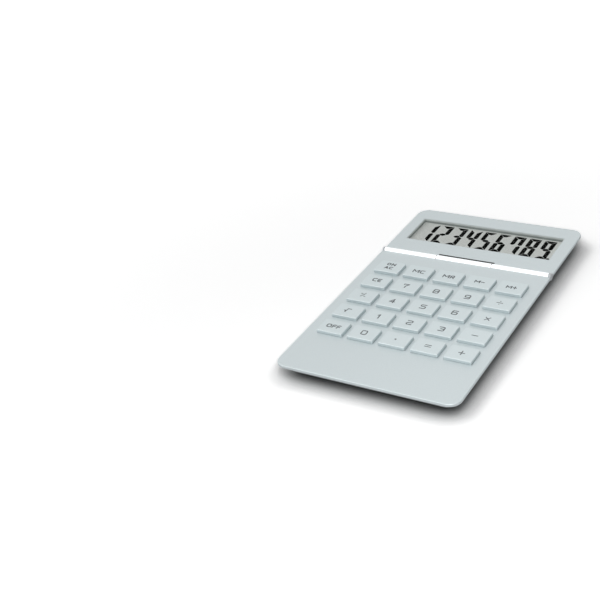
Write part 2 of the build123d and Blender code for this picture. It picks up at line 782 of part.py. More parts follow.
def zebra_strip():
    """Elastomer connector between the board and the glass's contact ledge."""
    half_x = lcd_half_width - zebra_inset
    back = lcd_back_y - zebra_back_gap
    return box(-half_x, half_x, back - zebra_width, back, display_board_top, lcd_low)


def display_board():
    """Circuit board behind the display."""
    board = board_plate(display_board_front_y, lcd_back_y, display_board_thickness)
    notch_back_y = display_screw_y + boss_radius + board_notch_room
    for side in (-1, 1):
        x = side * display_screw_x
        board -= box(x - board_notch_half, x + board_notch_half, display_board_front_y, notch_back_y,
                     board_low, display_board_top)
    return board


def controller_chip():
    """Resin-covered controller chip on the display board."""
    blob = post(0, window_y, chip_radius, display_board_top, display_board_top + chip_height)
    return fillet(blob.edges().group_by(Axis.Z)[-1], chip_round)


def capacitors():
    """Three small chip capacitors on the display board."""
    half = capacitor_width / 2
    top = display_board_top + capacitor_height
    starts = [capacitor_x + step * capacitor_pitch for step in range(3)]
    return Compound([box(x, x + capacitor_length, window_y - half, window_y + half, display_board_top, top)
                     for x in starts])


def display_connector():
    """Ribbon connector on the display board."""
    front = display_board_front_y + connector_inset
    return connector(front, front + connector_depth, front, front + connector_slot_depth, display_board_top)


def ribbon_cable_upper():
    """Display half of the ribbon cable, from the hinge line to the display board."""
    level = display_board_top + cable_level
    end_y = display_board_front_y + connector_inset + connector_slot_depth - ribbon_end_gap
    return ribbon([(hinge_y + ribbon_gap / 2, ribbon_z), (hinge_y + ribbon_back_run, ribbon_z),
                   (display_board_front_y - ribbon_straight, level), (end_y, level)])


# ---------------------------------------------------------------- all the pieces
def keyboard_screws():
    """Case screws of the keyboard half, and the two that hold the knuckle."""
    pieces = []
    for side in (-1, 1):
        pieces.append(screw(side * screw_x_front, screw_y_front, screw_seat, screw_tip))
        pieces.append(screw(side * screw_x_back, screw_y_back, screw_seat, screw_tip))
        pieces.append(screw(side * knuckle_screw_x, knuckle_screw_y, screw_seat, foot_top - knuckle_tip_gap))
    return Compound(pieces)


def display_screws():
    """Case screws of the display half."""
    places = [side * display_screw_x for side in (-1, 1)]
    return Compound([screw(x, display_screw_y, screw_seat, screw_tip) for x in places])


def make_parts():
    """Every node of the calculator by name."""
    sides = (-1, 1)
    parts = {
        "keyboard_cover": keyboard_cover(),
        "keyboard_bottom_case": keyboard_bottom_case(),
        "key_membrane": key_membrane(),
        "contact_pads": contact_pads(),
        "main_board": main_board(),
        "main_connector": main_connector(),
        "ribbon_cable_lower": ribbon_cable_lower(),
        "coin_cell": coin_cell(),
        "battery_contact_plus": battery_contact_plus(),
        "battery_contact_minus": battery_contact_minus(),
        "battery_door": battery_door(),
        "battery_door_screw": battery_door_screw(),
        "keyboard_screws": keyboard_screws(),
        "keyboard_feet": Compound([foot(side * foot_x, y) for side in sides for y in keyboard_foot_rows]),
        "hinge_knuckle": hinge_knuckle(),
        "hinge_pins": Compound([hinge_pin(side) for side in sides]),
        "hinge_barrel_left": hinge_barrel(-1),
        "hinge_barrel_right": hinge_barrel(1),
        "friction_sleeves": Compound([friction_sleeve(side) for side in sides]),
        "barrel_end_caps": Compound([end_cap(side) for side in sides]),
        "display_cover": display_cover(),
        "display_back_cover": display_back_cover(),
        "window_bezel": window_bezel(),
        "window_lens": window_lens(),
        "lcd_panel": lcd_panel(),
        "reflector_film": reflector_film(),
        "lcd_frame": lcd_frame(),
        "zebra_strip": zebra_strip(),
        "display_board": display_board(),
        "controller_chip": controller_chip(),
        "capacitors": capacitors(),
        "display_connector": display_connector(),
        "ribbon_cable_upper": ribbon_cable_upper(),
        "display_screws": display_screws(),
        "display_feet": Compound([foot(side * foot_x, display_foot_y) for side in sides]),
    }
    for name, x, y in key_places():
        parts["key_" + name] = key(x, y)
    return parts


os.makedirs("parts", exist_ok=True)
for node, shape in make_parts().items():
    export_step(shape, f"parts/{node}.step")
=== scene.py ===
"""The looks of a desk calculator: its finishes, key legends, display figures and ribbon cable.

Lengths are in metres in the calculator's own frame: +X to the right, +Y towards the display, +Z up,
with the origin on the table under its middle. Places come from the CAD parts.
"""
import json
from math import pi, radians

import bpy
import numpy as np
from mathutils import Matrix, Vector


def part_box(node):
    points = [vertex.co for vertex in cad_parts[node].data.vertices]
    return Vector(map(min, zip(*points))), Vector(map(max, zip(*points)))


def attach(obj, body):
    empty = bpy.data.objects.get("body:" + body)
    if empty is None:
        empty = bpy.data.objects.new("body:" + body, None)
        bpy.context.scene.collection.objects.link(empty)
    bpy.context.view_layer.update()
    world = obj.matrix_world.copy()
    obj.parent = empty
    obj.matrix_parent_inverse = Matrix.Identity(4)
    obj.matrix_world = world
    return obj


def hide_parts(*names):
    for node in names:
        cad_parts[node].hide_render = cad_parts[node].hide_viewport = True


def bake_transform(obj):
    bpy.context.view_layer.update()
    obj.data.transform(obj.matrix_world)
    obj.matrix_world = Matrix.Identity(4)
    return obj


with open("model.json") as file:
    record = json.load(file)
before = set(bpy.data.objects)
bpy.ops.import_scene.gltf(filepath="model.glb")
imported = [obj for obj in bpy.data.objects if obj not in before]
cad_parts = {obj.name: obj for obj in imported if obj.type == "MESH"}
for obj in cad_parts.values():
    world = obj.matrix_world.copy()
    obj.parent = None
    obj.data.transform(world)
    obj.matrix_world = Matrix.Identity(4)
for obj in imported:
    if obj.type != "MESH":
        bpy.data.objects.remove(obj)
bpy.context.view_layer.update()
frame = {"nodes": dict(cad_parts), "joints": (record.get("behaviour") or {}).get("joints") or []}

MM = 0.001

# ---------------------------------------------------------------- legend and figure sizes
LEGEND_STROKE = 0.6 * MM
SIGN_STROKE = 0.5 * MM
LEGEND_CORNER = 0.7 * MM
LEGEND_SINK = 0.01 * MM         # ink below the key's top face
LEGEND_RISE = 0.01 * MM         # and above it
DIGIT_SIZE = (2.8 * MM, 3.2 * MM)
LETTER_SIZE = (2.0 * MM, 2.4 * MM)
SMALL_LETTER_SIZE = (1.6 * MM, 1.8 * MM)
SIGN_SIZE = (3.0 * MM, 3.0 * MM)
LETTER_GAP = 1.05 * MM
LINE_PITCH = 3.6 * MM
LINE_LIFT = 0.5 * MM            # two lines sit this far above the key's middle
STROKE_STEP = 0.002 * MM        # a stroke's top rises this far, and the next starts as far above it

FIGURE_WIDTH = 6.8 * MM
FIGURE_HEIGHT = 19.4 * MM
FIGURE_PITCH = 8.9 * MM
FIGURE_SHIFT = (0.4 * MM, 0.9 * MM)     # the row's middle off the window's middle
SEGMENT_WIDTH = 2.5 * MM
SEGMENT_GAP = 0.14 * MM
SEGMENT_RISE = 0.02 * MM
POINT_SIZE = 1.6 * MM
FIGURES = "123456789"

RIBBON_HALF = 0.1 * MM          # half of the cable's thickness
RIBBON_WIRES = 12
RIBBON_FRONT_LEVEL = 2.4 * MM   # level run out of the main board's connector
RIBBON_HINGE_FRONT = 4 * MM     # level run in front of the hinge
RIBBON_HINGE_BACK = 2 * MM      # and behind it
RIBBON_BACK_LEVEL = 2.6 * MM    # level run into the display board's connector

SLOT_SHADE_BOX = ((0, 37.2 * MM, 7.1 * MM), (16.6 * MM, 0.9 * MM, 1.55 * MM))     # painted shade: the hinge slot's inside and a thin strip of the plate's top beside it, drawn dark
RIM_SHADE_TOP = 7.7 * MM             # height under which the window rim is drawn darker, as painted shade
SLOT_SHADE_COLOUR = (34, 37, 39)     # without its lacquer


def srgb(red, green, blue):
    """A linear colour from display values of 0 to 255: the sRGB curve, undone."""
    share = np.array([red, green, blue]) / 255
    linear = np.where(share <= 0.04045, share / 12.92, ((share + 0.055) / 1.055) ** 2.4)
    return (*linear.tolist(), 1.0)


# ---------------------------------------------------------------- node helpers
def fill(tree, node, sockets):
    """Gives each named or numbered socket of a node its value or its link."""
    for key, value in sockets.items():
        if isinstance(value, bpy.types.NodeSocket):
            tree.links.new(value, node.inputs[key])
        else:
            node.inputs[key].default_value = value


def add(tree, kind, sockets=None, **settings):
    """A node with its settings and its sockets filled."""
    node = tree.nodes.new(kind)
    for key, value in settings.items():
        setattr(node, key, value)
    fill(tree, node, sockets or {})
    return node


def start_group(name, inputs, outputs):
    """An empty shader node group: its tree, its input node and its output node."""
    tree = bpy.data.node_groups.new(name, "ShaderNodeTree")
    for label, (kind, value) in inputs.items():
        socket = tree.interface.new_socket(name=label, in_out="INPUT", socket_type=kind)
        socket.default_value = value
    for label, kind in outputs.items():
        tree.interface.new_socket(name=label, in_out="OUTPUT", socket_type=kind)
    return tree, tree.nodes.new("NodeGroupInput"), tree.nodes.new("NodeGroupOutput")


FLOAT = "NodeSocketFloat"
COLOUR = "NodeSocketColor"
VECTOR = "NodeSocketVector"


def moulded_grain_group():
    """Spark-eroded grain: fine noise as bumps, and a slow drift of the gloss."""
    tree, given, result = start_group(
        "moulded_grain",
        {"Scale": (FLOAT, 3000.0), "Depth": (FLOAT, 0.00001), "Roughness": (FLOAT, 0.5), "Spread": (FLOAT, 0.05)},
        {"Normal": VECTOR, "Roughness": FLOAT})
    place = add(tree, "ShaderNodeTexCoord").outputs["Object"]
    fine = add(tree, "ShaderNodeTexNoise", {"Vector": place, "Scale": given.outputs["Scale"], "Detail": 2.0})
    slow = add(tree, "ShaderNodeTexNoise", {"Vector": place, "Scale": 45.0, "Detail": 3.0})
    bump = add(tree, "ShaderNodeBump", {"Strength": 1.0, "Distance": given.outputs["Depth"],
                                        "Height": fine.outputs[0]})
    centred = add(tree, "ShaderNodeMath", {0: slow.outputs[0], 1: 0.5}, operation="SUBTRACT")
    drift = add(tree, "ShaderNodeMath", {0: centred.outputs[0], 1: given.outputs["Spread"],
                                         2: given.outputs["Roughness"]}, operation="MULTIPLY_ADD")
    tree.links.new(bump.outputs[0], result.inputs["Normal"])
    tree.links.new(drift.outputs[0], result.inputs["Roughness"])
    return tree


def tone_drift_group():
    """A slow unevenness of a colour's brightness, from two sizes of noise."""
    tree, given, result = start_group(
        "tone_drift",
        {"Color": (COLOUR, (0.5, 0.5, 0.5, 1.0)), "Scale": (FLOAT, 30.0), "Amount": (FLOAT, 0.04)},
        {"Color": COLOUR})
    place = add(tree, "ShaderNodeTexCoord").outputs["Object"]
    noise = add(tree, "ShaderNodeTexNoise", {"Vector": place, "Scale": given.outputs["Scale"], "Detail": 4.0})
    centred = add(tree, "ShaderNodeMath", {0: noise.outputs[0], 1: 0.5}, operation="SUBTRACT")
    gain = add(tree, "ShaderNodeMath", {0: centred.outputs[0], 1: given.outputs["Amount"], 2: 1.0},
               operation="MULTIPLY_ADD")
    toned = add(tree, "ShaderNodeVectorMath", {0: given.outputs["Color"], "Scale": gain.outputs[0]},
                operation="SCALE")
    tree.links.new(toned.outputs[0], result.inputs["Color"])
    return tree


def metal_flake_group():
    """Aluminium flake in silver lacquer: each small cell is a little brighter or darker than the next."""
    tree, given, result = start_group(
        "metal_flake",
        {"Color": (COLOUR, (0.6, 0.6, 0.6, 1.0)), "Scale": (FLOAT, 6000.0), "Sparkle": (FLOAT, 0.08)},
        {"Color": COLOUR})
    place = add(tree, "ShaderNodeTexCoord").outputs["Object"]
    cells = add(tree, "ShaderNodeTexVoronoi", {"Vector": place, "Scale": given.outputs["Scale"]})
    shade = add(tree, "ShaderNodeSeparateColor", {0: cells.outputs["Color"]})
    centred = add(tree, "ShaderNodeMath", {0: shade.outputs[0], 1: 0.5}, operation="SUBTRACT")
    gain = add(tree, "ShaderNodeMath", {0: centred.outputs[0], 1: given.outputs["Sparkle"], 2: 1.0},
               operation="MULTIPLY_ADD")
    toned = add(tree, "ShaderNodeVectorMath", {0: given.outputs["Color"], "Scale": gain.outputs[0]},
                operation="SCALE")
    tree.links.new(toned.outputs[0], result.inputs["Color"])
    return tree


def drawn_metal_group():
    """Fine lines left by drawing or rolling: noise stretched along one axis, as bumps and gloss."""
    tree, given, result = start_group(
        "drawn_metal",
        {"Stretch": (VECTOR, (1.0, 0.02, 1.0)), "Scale": (FLOAT, 4000.0), "Depth": (FLOAT, 0.000004),
         "Roughness": (FLOAT, 0.3), "Spread": (FLOAT, 0.2)},
        {"Normal": VECTOR, "Roughness": FLOAT})
    place = add(tree, "ShaderNodeTexCoord").outputs["Object"]
    drawn = add(tree, "ShaderNodeVectorMath", {0: place, 1: given.outputs["Stretch"]}, operation="MULTIPLY")
    lines = add(tree, "ShaderNodeTexNoise", {"Vector": drawn.outputs[0], "Scale": given.outputs["Scale"],
                                             "Detail": 3.0})
    bump = add(tree, "ShaderNodeBump", {"Strength": 1.0, "Distance": given.outputs["Depth"],
                                        "Height": lines.outputs[0]})
    centred = add(tree, "ShaderNodeMath", {0: lines.outputs[0], 1: 0.5}, operation="SUBTRACT")
    gloss = add(tree, "ShaderNodeMath", {0: centred.outputs[0], 1: given.outputs["Spread"],
                                         2: given.outputs["Roughness"]}, operation="MULTIPLY_ADD")
    tree.links.new(bump.outputs[0], result.inputs["Normal"])
    tree.links.new(gloss.outputs[0], result.inputs["Roughness"])
    return tree


def box_tone_group():
    """A second colour inside a box: where the largest part of |place - Centre| - Half is under 0."""
    tree, given, result = start_group(
        "box_tone",
        {"Color": (COLOUR, (0.8, 0.8, 0.8, 1.0)), "Inside": (COLOUR, (0.1, 0.1, 0.1, 1.0)),
         "Centre": (VECTOR, (0.0, 0.0, 0.0)), "Half": (VECTOR, (0.01, 0.01, 0.01))},
        {"Color": COLOUR})
    place = add(tree, "ShaderNodeTexCoord").outputs["Object"]
    offset = add(tree, "ShaderNodeVectorMath", {0: place, 1: given.outputs["Centre"]}, operation="SUBTRACT")
    span = add(tree, "ShaderNodeVectorMath", {0: offset.outputs[0]}, operation="ABSOLUTE")
    past = add(tree, "ShaderNodeVectorMath", {0: span.outputs[0], 1: given.outputs["Half"]}, operation="SUBTRACT")
    parts = add(tree, "ShaderNodeSeparateXYZ", {0: past.outputs[0]})
    first = add(tree, "ShaderNodeMath", {0: parts.outputs[0], 1: parts.outputs[1]}, operation="MAXIMUM")
    largest = add(tree, "ShaderNodeMath", {0: first.outputs[0], 1: parts.outputs[2]}, operation="MAXIMUM")
    inside = add(tree, "ShaderNodeMath", {0: largest.outputs[0], 1: 0.0}, operation="LESS_THAN")
    mixed = add(tree, "ShaderNodeMix", data_type="RGBA")
    for socket, value in ((0, inside.outputs[0]), (6, given.outputs["Color"]), (7, given.outputs["Inside"])):
        tree.links.new(value, mixed.inputs[socket])
    tree.links.new(mixed.outputs[2], result.inputs["Color"])
    return tree


GRAIN = moulded_grain_group()
BOX_TONE = box_tone_group()
DRIFT = tone_drift_group()
FLAKE = metal_flake_group()
DRAWN = drawn_metal_group()


# ---------------------------------------------------------------- finishes
def start_finish(name, **constants):
    """A material with a Principled shader, its plain constants set on the shader's own sockets."""
    material = bpy.data.materials.new(name)
    material.use_nodes = True
    tree = material.node_tree
    tree.nodes.clear()
    shader = add(tree, "ShaderNodeBsdfPrincipled")
    for key, value in constants.items():
        shader.inputs[key.replace("_", " ")].default_value = value
    output = add(tree, "ShaderNodeOutputMaterial")
    tree.links.new(shader.outputs[0], output.inputs[0])
    return material, tree, shader


def use(tree, group, **sockets):
    """A group node in a material, each input given a value or a link."""
    node = add(tree, "ShaderNodeGroup", node_tree=group)
    fill(tree, node, sockets)
    return node


def wire(tree, shader, toned, surface):
    """Leads a group's colour, and another's gloss and normal, to the shader."""
    tree.links.new(toned.outputs["Color"], shader.inputs["Base Color"])
    tree.links.new(surface.outputs["Roughness"], shader.inputs["Roughness"])
    tree.links.new(surface.outputs["Normal"], shader.inputs["Normal"])


def grained_plastic(name, colour, roughness, scale=3000.0, depth=0.00001, tone=0.05, spread=0.08, **constants):
    """A moulded plastic or rubber: slightly uneven colour, fine grain, drifting gloss.

    The constants are the shader's own sockets, named with underscores for spaces.
    """
    material, tree, shader = start_finish(name, **constants)
    toned = use(tree, DRIFT, Color=colour, Scale=25.0, Amount=tone)
    grain = use(tree, GRAIN, Scale=scale, Depth=depth, Roughness=roughness, Spread=spread)
    wire(tree, shader, toned, grain)
    return material


def silver_lacquer(name, colour, roughness, metallic, shade_box=None):
    """Satin silver lacquer: fine flake in the colour under an even, faintly grained clear coat.

    The last argument gives the middle and half sizes of a box drawn in a dark colour instead, as painted shade.
    """
    material, tree, shader = start_finish(name, Metallic=metallic, Coat_Weight=0.08, Coat_Roughness=0.4)
    flaked = use(tree, FLAKE, Color=colour, Scale=5200.0, Sparkle=0.05)
    toned = use(tree, DRIFT, Color=flaked.outputs["Color"], Scale=9.0, Amount=0.03)
    # painted shade: a dark colour inside the box in place of the lacquer's
    if shade_box:
        toned = use(tree, BOX_TONE, Color=toned.outputs["Color"], Inside=srgb(*SLOT_SHADE_COLOUR),
                    Centre=shade_box[0], Half=shade_box[1])
    grain = use(tree, GRAIN, Scale=2600.0, Depth=0.000004, Roughness=roughness, Spread=0.06)
    wire(tree, shader, toned, grain)
    return material


def metal(name, colour, roughness, stretch=(1.0, 0.02, 1.0), depth=0.000004, tone=0.06):
    """Bare metal with the fine lines of its drawing or rolling."""
    material, tree, shader = start_finish(name, Metallic=1.0)
    toned = use(tree, DRIFT, Color=colour, Scale=60.0, Amount=tone)
    lines = use(tree, DRAWN, Stretch=stretch, Scale=5000.0, Depth=depth, Roughness=roughness, Spread=0.15)
    wire(tree, shader, toned, lines)
    return material


def clear_sheet():
    """The clear acrylic window: a thin neutral film that hides little and barely shines."""
    material, tree, shader = start_finish("clear_sheet", Alpha=0.05)
    toned = use(tree, DRIFT, Color=srgb(60, 64, 62), Scale=30.0, Amount=0.05)
    grain = use(tree, GRAIN, Scale=900.0, Depth=0.000001, Roughness=0.08, Spread=0.02)
    wire(tree, shader, toned, grain)
    return material


def window_rim(name):
    """The grey rim round the display: its light grey at its top, and painted shade, a darker grey, where it meets
    the display.
    """
    material, tree, shader = start_finish(name)
    toned = use(tree, DRIFT, Color=srgb(204, 211, 209), Scale=25.0, Amount=0.04)
    # painted shade: a darker grey below the step, where the rim meets the display
    rim_shaded = use(tree, BOX_TONE, Color=toned.outputs["Color"], Inside=srgb(146, 153, 151), Centre=(0, 0, 0),
                  Half=(1, 1, RIM_SHADE_TOP))
    grain = use(tree, GRAIN, Scale=5000.0, Depth=0.000006, Roughness=0.5, Spread=0.08)
    wire(tree, shader, rim_shaded, grain)
    return material


def circuit_board():
    """Green solder resist over copper tracks that run in two directions."""
    material, tree, shader = start_finish("circuit_board", Coat_Weight=0.4, Coat_Roughness=0.2)
    place = add(tree, "ShaderNodeTexCoord").outputs["Object"]
    bricks = add(tree, "ShaderNodeTexBrick",
                 {"Vector": place, "Scale": 260.0, "Mortar Size": 0.06, "Mortar Smooth": 0.2,
                  "Color1": srgb(24, 84, 52), "Color2": srgb(20, 74, 46), "Mortar": srgb(58, 128, 78)})
    toned = use(tree, DRIFT, Color=bricks.outputs["Color"], Scale=80.0, Amount=0.1)
    grain = use(tree, GRAIN, Scale=4000.0, Depth=0.000006, Roughness=0.4, Spread=0.1)
    track = add(tree, "ShaderNodeBump", {"Strength": 0.6, "Distance": 0.00003, "Height": bricks.outputs["Fac"],
                                         "Normal": grain.outputs["Normal"]})
    tree.links.new(toned.outputs["Color"], shader.inputs["Base Color"])
    tree.links.new(grain.outputs["Roughness"], shader.inputs["Roughness"])
    tree.links.new(track.outputs[0], shader.inputs["Normal"])
    return material


def make_finishes():
    """Every finish by the name of its material slot in the record."""
    return {
        # satin silver, with painted shade drawn dark in the hinge slot
        "satin_silver": silver_lacquer("satin_silver", srgb(200, 209, 211), 0.42, 0.5, shade_box=SLOT_SHADE_BOX),
        "key_silver": silver_lacquer("key_silver", srgb(205, 215, 217), 0.42, 0.5),
        "grey_case": grained_plastic("grey_case", srgb(150, 155, 158), 0.55, scale=2200.0, depth=0.00002),
        "bright_barrel": metal("bright_barrel", srgb(248, 251, 252), 0.18, stretch=(0.05, 1.0, 1.0),
                               depth=0.000001, tone=0.01),
        "end_cap_grey": grained_plastic("end_cap_grey", srgb(196, 201, 204), 0.4),
        "bezel_grey": window_rim("bezel_grey"),
        "clear_sheet": clear_sheet(),
        "lcd_glass": grained_plastic("lcd_glass", srgb(226, 230, 226), 0.5, scale=7000.0, depth=0.000002,
                                     tone=0.03, spread=0.05, Specular_IOR_Level=0.15),
        "reflector": metal("reflector", srgb(222, 222, 218), 0.4),
        "silicone": grained_plastic("silicone", srgb(205, 208, 208), 0.6, Subsurface_Weight=0.2,
                                    Subsurface_Scale=0.001),
        "carbon": grained_plastic("carbon", srgb(38, 38, 40), 0.7, depth=0.00002),
        "circuit_board": circuit_board(),
        "white_plastic": grained_plastic("white_plastic", srgb(228, 226, 218), 0.45),
        "ribbon_film": grained_plastic("ribbon_film", srgb(44, 45, 48), 0.35),
        "battery_steel": metal("battery_steel", srgb(214, 214, 212), 0.3),
        "spring_metal": metal("spring_metal", srgb(222, 214, 196), 0.28),
        "screw_steel": metal("screw_steel", srgb(200, 200, 202), 0.32, stretch=(1.0, 1.0, 0.1)),
        "foot_rubber": grained_plastic("foot_rubber", srgb(70, 72, 75), 0.75, depth=0.00003),
        "elastomer": grained_plastic("elastomer", srgb(150, 150, 152), 0.65),
        "chip_resin": grained_plastic("chip_resin", srgb(32, 32, 34), 0.25, depth=0.00003),
    }


def dress_cad_nodes(finishes):
    """Gives every CAD node's material slots the finish of the same name."""
    for node in frame["nodes"].values():
        for place in node.material_slots:
            place.material = finishes[place.material.name.split(".")[0]]


# ---------------------------------------------------------------- meshes from arrays
def make_piece(name, points, faces, material):
    """An object from an array of points, n by 3, and a list of faces, with its finish."""
    mesh = bpy.data.meshes.new(name)
    mesh.from_pydata(points.tolist(), [], faces)
    mesh.materials.append(material)
    mesh.update()
    piece = bpy.data.objects.new(name, mesh)
    bpy.context.scene.collection.objects.link(piece)
    return piece


def join_shells(shells):
    """One set of points and faces from several, each shell's faces moved on by the points before it."""
    points, faces, count = [], [], 0
    for shell_points, shell_faces in shells:
        points.append(shell_points)
        faces += [tuple(count + corner for corner in face) for face in shell_faces]
        count += len(shell_points)
    return np.concatenate(points), faces


def rounded_line(corners, radius, closed, steps=5):
    """A flat line with its corners rounded.

    At a corner P the curve is B(t) = (1-t)^2 A + 2 t (1-t) P + t^2 C for t from 0 to 1, where A and C lie on
    the two runs at the corner, at the radius from P but no further than half of the run.
    """
    corners = np.array(corners, float)
    before = np.roll(corners, 1, 0) - corners
    after = np.roll(corners, -1, 0) - corners
    run_before = np.linalg.norm(before, axis=1)[:, None]
    run_after = np.linalg.norm(after, axis=1)[:, None]
    start = corners + before / run_before * np.minimum(radius, run_before / 2)
    end = corners + after / run_after * np.minimum(radius, run_after / 2)
    t = np.linspace(0, 1, steps)[None, :, None]
    bends = (1 - t) ** 2 * start[:, None] + 2 * t * (1 - t) * corners[:, None] + t ** 2 * end[:, None]
    if closed:
        return bends.reshape(-1, 2)
    return np.concatenate([corners[:1], bends[1:-1].reshape(-1, 2), corners[-1:]])


def ink_stroke(line, closed, width, low, high):
    """A flat bar of ink: a rectangle carried along a line, with mitred bends.

    At each point the rectangle's half width lies along the sum of the two runs' normals, divided by the
    cosine of half the turn. An open line is longer by half a width at both ends, and capped, and its top
    rises by STROKE_STEP from start to end, so that it can cross itself.
    """
    same_place = width / 1000
    line = line[np.linalg.norm(line - np.roll(line, 1, 0), axis=1) > same_place]
    count = len(line)
    if closed:
        ahead = np.roll(line, -1, 0) - line
        ahead = ahead / np.linalg.norm(ahead, axis=1)[:, None]
        behind = np.roll(ahead, 1, 0)
        top = np.full(count, high)
    else:
        runs = np.diff(line, axis=0)
        runs = runs / np.linalg.norm(runs, axis=1)[:, None]
        line = line.copy()
        line[0] -= runs[0] * width / 2
        line[-1] += runs[-1] * width / 2
        ahead = np.concatenate([runs, runs[-1:]])
        behind = np.concatenate([runs[:1], runs])
        top = high + STROKE_STEP * np.linspace(0, 1, count)
    normal = np.stack([-(ahead + behind)[:, 1], (ahead + behind)[:, 0]], axis=1)
    normal /= np.linalg.norm(normal, axis=1)[:, None]
    run_normal = np.stack([-ahead[:, 1], ahead[:, 0]], axis=1)
    side = normal * (width / 2 / (normal * run_normal).sum(1))[:, None]
    left, right = line + side, line - side
    foot = np.full(count, low)
    edges = ((left, foot), (left, top), (right, top), (right, foot))
    rings = [np.column_stack([flat, level]) for flat, level in edges]
    here = np.arange(4 * count).reshape(count, 4)
    there = np.roll(here, -1, 0)
    quads = np.stack([here, np.roll(here, -1, 1), np.roll(there, -1, 1), there], axis=-1)
    faces = quads[:count if closed else -1].reshape(-1, 4).tolist()
    if not closed:
        faces += [here[0, ::-1].tolist(), here[-1].tolist()]
    return np.stack(rings, axis=1).reshape(-1, 3), faces


def prism(outline, low, high):
    """An upright prism on a flat outline that runs anticlockwise."""
    outline = np.array(outline, float)
    count = len(outline)
    points = np.concatenate([np.column_stack([outline, np.full(count, level)]) for level in (low, high)])
    here = np.arange(count)
    there = np.roll(here, -1)
    sides = np.stack([here, there, count + there, count + here], axis=1)
    return points, [here[::-1].tolist(), (count + here).tolist()] + sides.tolist()


# ---------------------------------------------------------------- key legends
BOX = [(0, 0), (1, 0), (1, 1), (0, 1), (0, 0)]
GLYPHS = {  # strokes in a box of width 1 and height 1; a stroke that ends where it starts is closed
    "0": [BOX],
    "1": [[(0.25, 0.8), (0.6, 1), (0.6, 0)]],
    "2": [[(0, 1), (1, 1), (1, 0.52), (0, 0.45), (0, 0), (1, 0)]],
    "3": [[(0, 1), (1, 1), (1, 0), (0, 0)], [(0.3, 0.52), (1, 0.52)]],
    "4": [[(0.75, 0), (0.75, 1), (0, 0.28), (1, 0.28)]],
    "5": [[(1, 1), (0, 1), (0, 0.56), (1, 0.56), (1, 0), (0, 0)]],
    "6": [[(0.95, 1), (0, 1), (0, 0), (1, 0), (1, 0.58), (0.05, 0.58)]],
    "7": [[(0, 0.85), (0, 1), (1, 1), (0.45, 0.4), (0.45, 0)]],
    "8": [BOX, [(0.05, 0.52), (0.95, 0.52)]],
    "9": [[(0.05, 0), (1, 0), (1, 1), (0, 1), (0, 0.42), (0.95, 0.42)]],
    "A": [[(0, 0), (0.5, 1), (1, 0)], [(0.2, 0.32), (0.8, 0.32)]],
    "C": [[(1, 1), (0, 1), (0, 0), (1, 0)]],
    "E": [[(1, 1), (0, 1), (0, 0), (1, 0)], [(0.05, 0.5), (0.85, 0.5)]],
    "F": [[(1, 1), (0, 1), (0, 0)], [(0.05, 0.5), (0.85, 0.5)]],
    "M": [[(0, 0), (0, 1), (0.5, 0.35), (1, 1), (1, 0)]],
    "N": [[(0, 0), (0, 1), (1, 0), (1, 1)]],
    "O": [BOX],
    "R": [[(0, 0), (0, 1), (1, 1), (1, 0.45), (0.05, 0.45)], [(0.55, 0.45), (1, 0)]],
    "+": [[(0, 0.5), (1, 0.5)], [(0.5, 0), (0.5, 1)]],
    "-": [[(0, 0.5), (1, 0.5)]],
    "x": [[(0.1, 0.1), (0.9, 0.9)], [(0.1, 0.9), (0.9, 0.1)]],
    "/": [[(0, 0.5), (1, 0.5)], [(0.5, 0.95), (0.5, 0.96)], [(0.5, 0.04), (0.5, 0.05)]],
    "=": [[(0, 0.72), (1, 0.72)], [(0, 0.28), (1, 0.28)]],
    ".": [[(0.4, 0.5), (0.6, 0.5)], [(0.5, 0.4), (0.5, 0.6)]],
    "r": [[(0, 0.45), (0.14, 0.45), (0.3, 0.0), (0.5, 1), (1.1, 1)]],
    "%": [[(0.2, 0), (0.8, 1)], [(0, 0.86), (0.24, 0.86)], [(0.76, 0.14), (1, 0.14)]],
}
SHARP = "47AMNxr1"              # glyphs whose corners stay sharp
SIGNS = "/%xr-=+."              # glyphs in the thinner stroke
WIDTHS = {"M": 1.6, "O": 1.1, "N": 1.15, "R": 0.95, "E": 0.85, "F": 0.8, "-": 0.9, "+": 1.0}
LEGENDS = {  # a key's lines of text, and the size of a letter
    "on_ac": (["ON", "AC"], SMALL_LETTER_SIZE), "mc": (["MC"], LETTER_SIZE), "mr": (["MR"], LETTER_SIZE),
    "m_minus": (["M-"], SMALL_LETTER_SIZE), "m_plus": (["M+"], SMALL_LETTER_SIZE), "ce": (["CE"], LETTER_SIZE),
    "divide": (["/"], SIGN_SIZE), "percent": (["%"], SIGN_SIZE), "multiply": (["x"], SIGN_SIZE),
    "root": (["r"], SIGN_SIZE), "minus": (["-"], SIGN_SIZE), "off": (["OFF"], LETTER_SIZE),
    "point": (["."], SIGN_SIZE), "equals": (["="], SIGN_SIZE), "plus": (["+"], SIGN_SIZE),
    **{digit: ([digit], DIGIT_SIZE) for digit in "0123456789"},
}
NUDGES = {"ce": (0, 0.7 * MM), "root": (-0.8 * MM, 0), "percent": (0, 0.5 * MM)}    # off the key's middle


